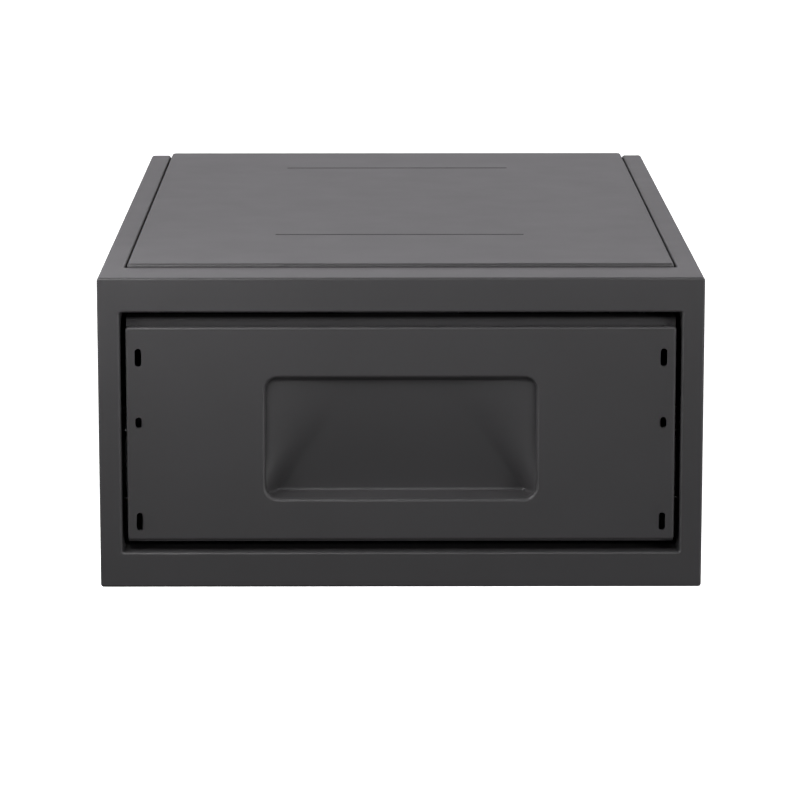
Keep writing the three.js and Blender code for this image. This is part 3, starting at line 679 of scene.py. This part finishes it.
size = measure("drawer_fascia")
size = size._replace(low=size.low - FASCIA_DROP)
face = size.front
scoop_high = size.high - SCOOP_DROP
scoop = Box(-SCOOP_WIDTH / 2, SCOOP_WIDTH / 2, face, face, scoop_high - SCOOP_HEIGHT, scoop_high)
round_scoop = hole_edge(scoop)


def divided(name, box, corner):
    """The outline of an upright blank, with its straight sides cut into pieces."""
    piece = upright(name, box.left, box.right, box.low, box.high, box.front, corner, 6)
    edit(piece)
    bpy.ops.mesh.select_all(action="SELECT")
    bpy.ops.mesh.delete(type="ONLY_FACE")
    bpy.ops.mesh.select_mode(type="EDGE")
    for axis, pieces in ((0, PIECES_ALONG), (2, PIECES_ACROSS)):
        bpy.ops.mesh.select_all(action="DESELECT")
        net = bmesh.from_edit_mesh(piece.data)
        spans = {edge: abs((edge.verts[0].co - edge.verts[1].co)[axis]) for edge in net.edges}
        for edge, span in spans.items():
            if near(span / MM, max(spans.values()) / MM):
                edge.select_set(True)
        bmesh.update_edit_mesh(piece.data)
        bpy.ops.mesh.subdivide(number_cuts=pieces - 1)
    leave()
    return piece


fascia = ring(divided("drawer_fascia_steel", size, FASCIA_CORNER), divided("scoop", scoop, SCOOP_CORNER))
edit(fascia)
choose(fascia, "EDGE", lambda x, y, z: not round_scoop(x, y, z), faces=1)
extrude(y=SIDE_RETURN)
choose(fascia, "EDGE", outer_edge(size, FASCIA_CORNER))
bevel(FASCIA_FOLD)
leave()
print("fascia:", len(fascia.data.polygons), "faces")

# %% [markdown]
# The scoop is drawn in the hole that the ring left. The hole is filled, six small insets turn its edge
# back in a quarter round, and narrowing copies of the outline lay out the floor, close together near its
# edges. A reach is how far such a copy has moved in from the sides, the bottom and the top.

# %% Draw the scoop
SCOOP_RIM = 2.3
RIM_STEPS = 6
EDGE_LOOPS = 40
EDGE_REACH = (38, 5, 9)
MIDDLE_LOOPS = 22
MIDDLE_REACH = (84, 36, 38)

floor_half = scoop.right - SCOOP_RIM
floor_low = scoop.low + SCOOP_RIM
floor_high = scoop.high - SCOOP_RIM


def shares(count, power):
    return [(step / count) ** power for step in range(count + 1)]


edit(fascia)
choose(fascia, "EDGE", lambda x, y, z: near(y, face) and round_scoop(x, y, z), faces=1)
bpy.ops.mesh.edge_face_add()
bpy.ops.mesh.select_mode(type="FACE")
turns = [math.radians(90 * step / RIM_STEPS) for step in range(RIM_STEPS + 1)]
for before, after in zip(turns, turns[1:]):
    narrower = SCOOP_RIM * MM * (math.sin(after) - math.sin(before))
    bpy.ops.mesh.inset(thickness=narrower, use_even_offset=True)
    shift(y=SCOOP_RIM * (math.cos(before) - math.cos(after)))

reaches = []
for side, low, high in zip(shares(EDGE_LOOPS, 1.5), shares(EDGE_LOOPS, 1), shares(EDGE_LOOPS, 1.5)):
    reaches.append((side * EDGE_REACH[0], low * EDGE_REACH[1], high * EDGE_REACH[2]))
for share in shares(MIDDLE_LOOPS, 1)[1:]:
    reaches.append([edge + (middle - edge) * share for edge, middle in zip(EDGE_REACH, MIDDLE_REACH)])
outlines = [(floor_half - side, floor_low + low, floor_high - high) for side, low, high in reaches]
for (half, low, high), (next_half, next_low, next_high) in zip(outlines, outlines[1:]):
    bpy.ops.mesh.extrude_region_move()
    bpy.ops.transform.resize(
        value=(next_half / half, 1, (next_high - next_low) / (high - low)),
        center_override=place(0, face, (high + low) / 2))
    shift(z=(next_high + next_low - high - low) / 2)
leave()
print("loops in the scoop:", len(outlines))

# %% [markdown]
# A press then pushes the floor back: each corner of the mesh gets a weight for its depth, and a Displace
# modifier moves it by that share. The depth depends only on how far a corner lies from the sides, the
# bottom and the top. The floor slopes away from top to bottom, turns on a fillet into a ledge below, and
# blends out of the sides over a width that grows towards the top.

# %% Press the scoop
# Depth of the floor at the bottom and the top, and how it grows between them
DEEPEST = 18
SHALLOWEST = 5.4
SLOPE_POWER = 1.35
# How far the sheet runs on straight back from the rim
WALL = 1.1
# Height over which the ledge climbs, and of the fillet behind it
LEDGE_RISE = 2
LEDGE_FILLET = 2.4
# Widths over which the floor blends into the rim, at the top and at the sides
TOP_BLEND = 2.2
SIDE_BLEND_HIGH = 60
SIDE_BLEND_LOW = 5
# Share of a straight slope in the side blend
SIDE_CREASE = 0.6


def smooth_share(value, width):
    share = min(max(value / width, 0), 1)
    return share * share * (3 - 2 * share)


def between(start, end, share):
    return start + (end - start) * share


def ledge_share(rise):
    """The ledge climbs gently to the back, and a fillet turns it up into the floor."""
    fillet = LEDGE_FILLET / (DEEPEST - SCOOP_RIM)
    if rise < LEDGE_RISE:
        return (1 - fillet) * max(rise, 0) / LEDGE_RISE
    left = max(1 - (rise - LEDGE_RISE) / LEDGE_FILLET, 0)
    return 1 - fillet + fillet * math.sqrt(1 - left * left)


def scoop_depth(x, z):
    """How far back from the fascia's face the floor of the scoop lies, in millimetres."""
    from_bottom = z - floor_low
    from_top = floor_high - z
    down = from_top / (floor_high - floor_low)
    from_side = floor_half - abs(x)
    side_width = between(SIDE_BLEND_HIGH, SIDE_BLEND_LOW, down)
    side_share = between(smooth_share(from_side, side_width), min(from_side / side_width, 1), SIDE_CREASE)
    top_share = smooth_share(from_top, TOP_BLEND)
    rest = SCOOP_RIM + WALL * top_share
    slope = between(SHALLOWEST, DEEPEST, down ** SLOPE_POWER)
    return rest + (slope - rest) * side_share * ledge_share(from_bottom) * top_share


depths = fascia.vertex_groups.new(name="depth")
deep_count = 0
for corner in fascia.data.vertices:
    x, y, z = in_mm(corner.co)
    from_edge = min(floor_half - abs(x), z - floor_low, floor_high - z)
    if from_edge > TOLERANCE and near(y, face + SCOOP_RIM):
        depths.add([corner.index], (scoop_depth(x, z) - SCOOP_RIM) / DEEPEST, "REPLACE")
        deep_count += 1
modifier(fascia, "DISPLACE", direction="Y", mid_level=0, strength=DEEPEST * MM, vertex_group="depth")
print("pressed corners:", deep_count)

# %% [markdown]
# The sheet gets its thickness, the upper and lower folds are cut back between their ends, and six slots
# are punched for the screws of a wooden front.

# %% Thickness, reliefs and slots
SHORT_RETURN = 4
RELIEF_HEIGHT = 3
RELIEF_FROM_SIDE = 7
SLOT_FROM_SIDE = 7.7
SLOT_WIDTH = 4.2
# Middle and height of each slot
SLOTS = ((146.9, 11.6), (105.3, 7), (41.7, 11.6))

slot_out = size.right - SLOT_FROM_SIDE


def punch_slots(piece, sheet_front, wider=0, higher=0):
    half_width = (SLOT_WIDTH + wider) / 2
    for x in (-slot_out, slot_out):
        for middle, height in SLOTS:
            half_height = (height + higher) / 2
            slot = upright("slot", x - half_width, x + half_width, middle - half_height,
                           middle + half_height, sheet_front - CLEAR, 2 * half_width * ROUND_END, 8)
            punch(piece, slot, y=THROUGH)


edit(fascia)
point_outwards()
leave()
thicken(fascia, STEEL_FASCIA)
lower_fold = (size.low - CLEAR, size.low + RELIEF_HEIGHT)
upper_fold = (size.high - RELIEF_HEIGHT, size.high + CLEAR)
for low, high in (lower_fold, upper_fold):
    cut_out(fascia, block("relief", size.left + RELIEF_FROM_SIDE, size.right - RELIEF_FROM_SIDE,
                          face + SHORT_RETURN, face + SIDE_RETURN + CLEAR, low, high))
punch_slots(fascia, face)
soften(fascia, 0.2)
complete(fascia, "powder_coated_steel", "drawer", "drawer_fascia")

# %% [markdown]
# ## Drawer front panel
#
# The tray's own front stands eight millimetres behind the fascia. It is a flat panel with its top edge
# folded back. A window leaves room for the scoop, and larger slots leave room for the screws.

# %% Drawer front panel
STEEL_PANEL = 1.5
PANEL_FOLD = 2
WINDOW_HALF = 90
WINDOW_LOW = 51.6
WINDOW_HIGH = 138.4
WINDOW_CORNER = 9.5

size = measure("drawer_front_panel")
panel = upright("drawer_front_steel", size.left, size.right, size.low, size.high, size.front)
edit(panel)
choose(panel, "EDGE", lambda x, y, z: near(z, size.high))
extrude(y=size.back - size.front)
choose(panel, "EDGE", lambda x, y, z: near(z, size.high) and near(y, size.front))
bevel(PANEL_FOLD)
point_outwards()
leave()
thicken(panel, STEEL_PANEL)
window = upright("window", -WINDOW_HALF, WINDOW_HALF, WINDOW_LOW, WINDOW_HIGH, size.front - CLEAR,
                 WINDOW_CORNER, 8)
punch(panel, window, y=THROUGH)
punch_slots(panel, size.front, wider=2, higher=2)
soften(panel)
complete(panel, "powder_coated_steel", "drawer", "drawer_front_panel")

# %% [markdown]
# ## Drawer tray
#
# The tray is a channel of thinner sheet: floor and two sides, with the upper edges hemmed inwards. Its
# back is a separate plate with a hem of its own, welded in between the sides.

# %% Channel of the tray
STEEL_TRAY = 1.2
TRAY_FOLD = 2
HEM = 6

size = measure("drawer_tray")
tray = block("drawer_tray_steel", size.left, size.right, size.front, size.back, size.low, size.high)
edit(tray)
for side in (lambda x, y, z: near(y, size.front), lambda x, y, z: near(y, size.back),
             lambda x, y, z: near(z, size.high)):
    choose(tray, "FACE", side)
    bpy.ops.mesh.delete(type="FACE")
for side in (-1, 1):
    choose(tray, "EDGE", lambda x, y, z: near(z, size.high) and near(x, side * size.right))
    extrude(x=-side * HEM)
choose(tray, "EDGE", lambda x, y, z: near(abs(x), size.right), faces=2)
bevel(TRAY_FOLD)
point_outwards()
leave()
thicken(tray, STEEL_TRAY)
print("channel:", len(tray.data.polygons), "faces")

# %% Back of the tray
TRAY_BACK_DROP = 5.6

half_sheet = STEEL_TRAY / 2
tray_back_high = size.high - TRAY_BACK_DROP
tray_back = upright("tray_back", size.left + half_sheet, size.right - half_sheet, size.low + half_sheet,
                    tray_back_high, size.back)
edit(tray_back)
choose(tray_back, "EDGE", lambda x, y, z: near(z, tray_back_high))
extrude(y=-HEM)
choose(tray_back, "EDGE", lambda x, y, z: near(z, tray_back_high) and near(y, size.back))
bevel(TRAY_FOLD)
point_outwards()
leave()
thicken(tray_back, STEEL_TRAY)
combine(tray, "UNION", tray_back)
soften(tray, 0.2)
complete(tray, "powder_coated_steel", "drawer", "drawer_tray")

# %% [markdown]
# ## Back panel
#
# A flat plate closes the back. It is held by four screws. Its upper edge is cut lower between the
# corners, where the border's lips and the top plate come down.

# %% Back panel
BACK_CORNER = 3
STEP_HALF = 176.8
STEP_HEIGHT = 187.7

size = measure("back_panel")
back = upright("back_panel_steel", size.left, size.right, size.low, size.high, size.front, BACK_CORNER, 5)
thicken(back, size.back - size.front)
cut_out(back, block("step", -STEP_HALF, STEP_HALF, size.front - CLEAR, size.back + CLEAR, STEP_HEIGHT,
                    size.high + CLEAR))
soften(back)
complete(back, "powder_coated_steel", "cabinet", "back_panel")

# %% [markdown]
# ## Ball slides
#
# Each side has a slide of three steel members that pass in one another, with two rows of caged balls
# between each two. A member is a roll-formed strip. The flat web is extruded at both edges into arms, and
# each arm is spun round the middle of its ball, so the race follows the ball exactly.

# %% Channels and races
SLIDE_SHEET = 1.2
SLIDE_BEND = 1.2
RACE_STEPS = 8

outer_box = measure("slide_outer_right")
slide_back = outer_box.right
slide_level = (outer_box.low + outer_box.high) / 2


def channel(name, node, web, rise, arm, bend):
    """A channel of sheet: its web and arms by depth from the slide's back and rise from its middle."""
    box = measure(node)
    web_x = slide_back - web
    piece = standing(name, web_x, box.front, box.back, slide_level - rise, slide_level + rise)
    edit(piece)
    for level in (slide_level - rise, slide_level + rise):
        choose(piece, "EDGE", lambda x, y, z: near(z, level))
        extrude(x=web - arm)
        choose(piece, "EDGE", lambda x, y, z: near(z, level) and near(x, web_x))
        bevel(bend, 4)
    leave()
    return piece


def formed(piece, sheet):
    edit(piece)
    point_outwards()
    leave()
    thicken(piece, sheet, 0)
    soften(piece, 0.15, 1)


def slide_member(name, node, web, rise, ball_depth, ball_rise, turn):
    """A channel whose arms are carried on round their balls."""
    piece = channel(name, node, web, rise, ball_depth, SLIDE_BEND)
    edge_x = slide_back - ball_depth
    edit(piece)
    for side in (-1, 1):
        level = slide_level + side * rise
        choose(piece, "EDGE", lambda x, y, z: near(z, level) and near(x, edge_x))
        bpy.ops.mesh.spin(
            steps=RACE_STEPS, angle=side * math.radians(turn), axis=(0, 1, 0),
            center=place(edge_x, 0, slide_level + side * ball_rise))
    leave()
    formed(piece, SLIDE_SHEET)
    return piece


# %% Slide members
# Depth from the slide's back, rise from its middle, and radius of the outer and inner rows of balls
OUTER_BALL = (5.2, 19.2, 2)
INNER_BALL = (5.5, 14.3, 1.5)
RACE_GAP = 0.7
OUTER_WEB = 0.6
MIDDLE_WEB = 2.6
INNER_WEB = 12.1

outer_depth, outer_rise, outer_ball = OUTER_BALL
inner_depth, inner_rise, inner_ball = INNER_BALL
outer_member = slide_member("outer_member_right", "slide_outer_right", OUTER_WEB,
                            outer_rise + outer_ball + RACE_GAP, outer_depth, outer_rise, 100)
middle_member = slide_member("middle_member_right", "slide_middle_right", MIDDLE_WEB,
                             inner_rise + inner_ball + RACE_GAP, inner_depth, inner_rise, 90)
inner_member = slide_member("inner_member_right", "slide_inner_right", INNER_WEB,
                            inner_rise - inner_ball - RACE_GAP, inner_depth, inner_rise, 25)
print("outer member:", len(outer_member.data.polygons), "faces")

# %% [markdown]
# The heads of the slide's screws and rivets lie flush in the members, so the webs have round holes for
# them.

# %% Holes in the members
SCREW_PLACES = (71, 531)
RIVET_PLACES = (86, 506)
SCREW_HOLE = 3.7
RIVET_HEAD_HOLE = 3.5
# A round hole's corners take a little less than its radius, so that they don't meet
ROUND_HOLE = 0.999


def punch_web(piece, places, radius, web):
    for far in places:
        blank = standing("hole", slide_back - web - THROUGH / 2, far - radius, far + radius,
                         slide_level - radius, slide_level + radius, radius * ROUND_HOLE)
        punch(piece, blank, x=THROUGH)


punch_web(outer_member, SCREW_PLACES, SCREW_HOLE, OUTER_WEB)
punch_web(inner_member, RIVET_PLACES, RIVET_HEAD_HOLE, INNER_WEB)

# %% [markdown]
# The left slide's pieces are mirrored copies, each with its own mesh. A mirror turns a mesh inside out, so
# its faces are flipped back.

# %% Left and right
def mirrored_copy(piece, name):
    """A copy on the other side, with its own mesh."""
    alone(piece)
    bpy.ops.object.duplicate()
    copy = bpy.context.object
    copy.name = name
    copy.data.name = name
    copy.scale.x = -1
    bpy.ops.object.transform_apply(scale=True)
    edit(copy)
    bpy.ops.mesh.select_all(action="SELECT")
    bpy.ops.mesh.flip_normals()
    leave()
    return copy


def both_sides(piece, slot, body, node):
    """Finishes a piece of the right side, and its mirrored copy on the left."""
    left = mirrored_copy(piece, piece.name.replace("right", "left"))
    for made, side in ((piece, "right"), (left, "left")):
        complete(made, slot, body.format(side), node.format(side))


both_sides(outer_member, "zinc_plated_steel", "cabinet", "slide_outer_{}")
both_sides(middle_member, "zinc_plated_steel", "slide_middle_{}", "slide_middle_{}")
both_sides(inner_member, "zinc_plated_steel", "drawer", "slide_inner_{}")

# %% [markdown]
# A cage is a thin channel between two members. Six balls sit in each of its arms, so one ball is modelled
# and copied.

# %% Ball cages
CAGE_SHEET = 0.6
CAGE_BEND = 0.8
CAGE_BALLS = 6
CAGE_END = 12
OUTER_CAGE_WEB = 1.6
INNER_CAGE_WEB = 3.6


def ball_cage(name, node, web, ball):
    depth, rise, radius = ball
    cage = channel(name, node, web, rise, depth + radius, CAGE_BEND)
    formed(cage, CAGE_SHEET)
    box = measure(node)
    step = (box.back - box.front - 2 * CAGE_END) / (CAGE_BALLS - 1)
    bpy.ops.object.select_all(action="DESELECT")
    bpy.ops.mesh.primitive_uv_sphere_add(
        segments=16, ring_count=10, radius=radius * MM,
        location=place(slide_back - depth, box.front + CAGE_END, slide_level + rise))
    balls = [named("ball")]
    for count in range(1, CAGE_BALLS):
        alone(balls[0])
        bpy.ops.object.duplicate_move(TRANSFORM_OT_translate={"value": (0, step * count * MM, 0)})
        balls.append(bpy.context.object)
    row = joined(balls)
    alone(row)
    bpy.ops.object.duplicate_move(TRANSFORM_OT_translate={"value": (0, 0, -2 * rise * MM)})
    whole = joined([cage, row, bpy.context.object])
    bpy.ops.object.transform_apply(location=True)
    return whole


outer_balls = ball_cage("outer_ball_cage_right", "outer_cage_right", OUTER_CAGE_WEB, OUTER_BALL)
inner_balls = ball_cage("inner_ball_cage_right", "inner_cage_right", INNER_CAGE_WEB, INNER_BALL)
both_sides(outer_balls, "bearing_steel", "outer_cage_{}", "outer_cage_{}")
both_sides(inner_balls, "bearing_steel", "inner_cage_{}", "inner_cage_{}")

# %% [markdown]
# ## Back screws
#
# Four pan head screws hold the back. A screw starts as a circle that is extruded and widened or narrowed
# ring by ring, and two crossing blocks cut its recess.

# %% Back screws
# Radius and height of each ring, from the tip to the head
SCREW_RINGS = ((1.9, 0), (1.9, 8), (4, 8), (4, 9), (3.8, 9.8), (3.2, 10.6), (2.2, 11.2))
SCREW_LENGTH = SCREW_RINGS[-1][1]
RECESS_WIDTH = 0.9
RECESS_LENGTH = 4.4
RECESS_DEPTH = 1.6


def pan_head_screw(name, x, tip, z):
    """A screw whose head looks backwards."""
    bpy.ops.object.select_all(action="DESELECT")
    bpy.ops.mesh.primitive_circle_add(vertices=32, radius=SCREW_RINGS[0][0] * MM, fill_type="NGON")
    piece = bpy.context.object
    edit(piece)
    bpy.ops.mesh.select_all(action="SELECT")
    for (radius, height), (next_radius, next_height) in zip(SCREW_RINGS, SCREW_RINGS[1:]):
        extrude(z=next_height - height)
        bpy.ops.transform.resize(
            value=(next_radius / radius, next_radius / radius, 1), center_override=(0, 0, next_height * MM))
    point_outwards()
    leave()
    piece.rotation_euler = (-math.pi / 2, 0, 0)
    piece.location = place(x, tip, z)
    return named(name)


for side in ("left", "right"):
    for end in ("top", "bottom"):
        node = f"back_screw_{end}_{side}"
        box = measure(node)
        x = (box.left + box.right) / 2
        z = (box.low + box.high) / 2
        screw = pan_head_screw(node + "_pan_head", x, box.back - SCREW_LENGTH, z)
        for wide, tall in ((RECESS_WIDTH, RECESS_LENGTH), (RECESS_LENGTH, RECESS_WIDTH)):
            recess = block("recess", x - wide / 2, x + wide / 2, box.back - RECESS_DEPTH,
                           box.back + CLEAR, z - tall / 2, z + tall / 2)
            cut_out(screw, recess)
        soften(screw, 0.1, 1)
        complete(screw, "black_screws", "cabinet", node)

# %% [markdown]
# ## What stays as it is
#
# Brackets, rails, the lock with its strike, the slides' screws and stops and the tray's rivets keep their
# CAD shapes, which are right as they are. Each takes the finish of its slot in the record.

# %% Dress the CAD nodes that stay
slots = {part["node"]: part["material_slot"] for part in frame["record"]["subparts"]}
for name, node in frame["nodes"].items():
    if not node.hide_render:
        node.data.materials.clear()
        node.data.materials.append(finishes[slots[name]])
        print(name, "takes", slots[name])

# %% [markdown]
# ## White studio
#
# The safe stands on pure white, as for a catalogue. Floor and walls are the inside of one large white box
# that shines by itself. It is hidden from the light that bounces, so it doesn't brighten the underside of
# every fold.

# %% White sweep
SWEEP_SIZE = 60

bpy.ops.object.select_all(action="DESELECT")
bpy.ops.mesh.primitive_cube_add(size=SWEEP_SIZE, location=(0, 0, SWEEP_SIZE / 2))
floor = named("white_sweep")
edit(floor)
bpy.ops.mesh.select_all(action="SELECT")
bpy.ops.mesh.flip_normals()
leave()
white_paper = new_finish("matt_white_paper", Base_Color=linear("f4f4f4"), Roughness=0.9,
                         Specular_IOR_Level=0.1, Emission_Color=(1, 1, 1, 1), Emission_Strength=1.0)[0]
floor.data.materials.append(white_paper)
floor.visible_diffuse = False
floor.visible_glossy = False
floor.visible_shadow = False
floor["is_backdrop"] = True
print("sweep:", SWEEP_SIZE, "m wide")

# %% [markdown]
# The ceiling and walls of a studio send a little light back from above, and a dark floor sends none. The
# world's glow does that: it rises from nothing just below the horizon to its full strength just above it.

# %% Dim studio
UPPER_GLOW = 0.08
HORIZON = 0.1

world = bpy.data.worlds.new("dim_studio")
bpy.context.scene.world = world
world.use_nodes = True
sky = add(world.node_tree, "ShaderNodeTexCoord").outputs["Generated"]
height = add(world.node_tree, "ShaderNodeSeparateXYZ", {"Vector": sky}).outputs["Z"]
glow = add(world.node_tree, "ShaderNodeMapRange", {
    "Value": height, "From Min": -HORIZON, "From Max": HORIZON, "To Min": 0.0, "To Max": UPPER_GLOW})
background = world.node_tree.nodes["Background"]
background.inputs["Color"].default_value = (1, 1, 1, 1)
world.node_tree.links.new(glow.outputs["Result"], background.inputs["Strength"])
print("world:", world.name)

# %% [markdown]
# ## Sizes
#
# The finished safe's box is measured, leaving out the white sweep, and its size is printed in millimetres.

# %% Sizes
low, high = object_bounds()
print("finished safe:", [round(side / MM, 1) for side in high - low], "mm")
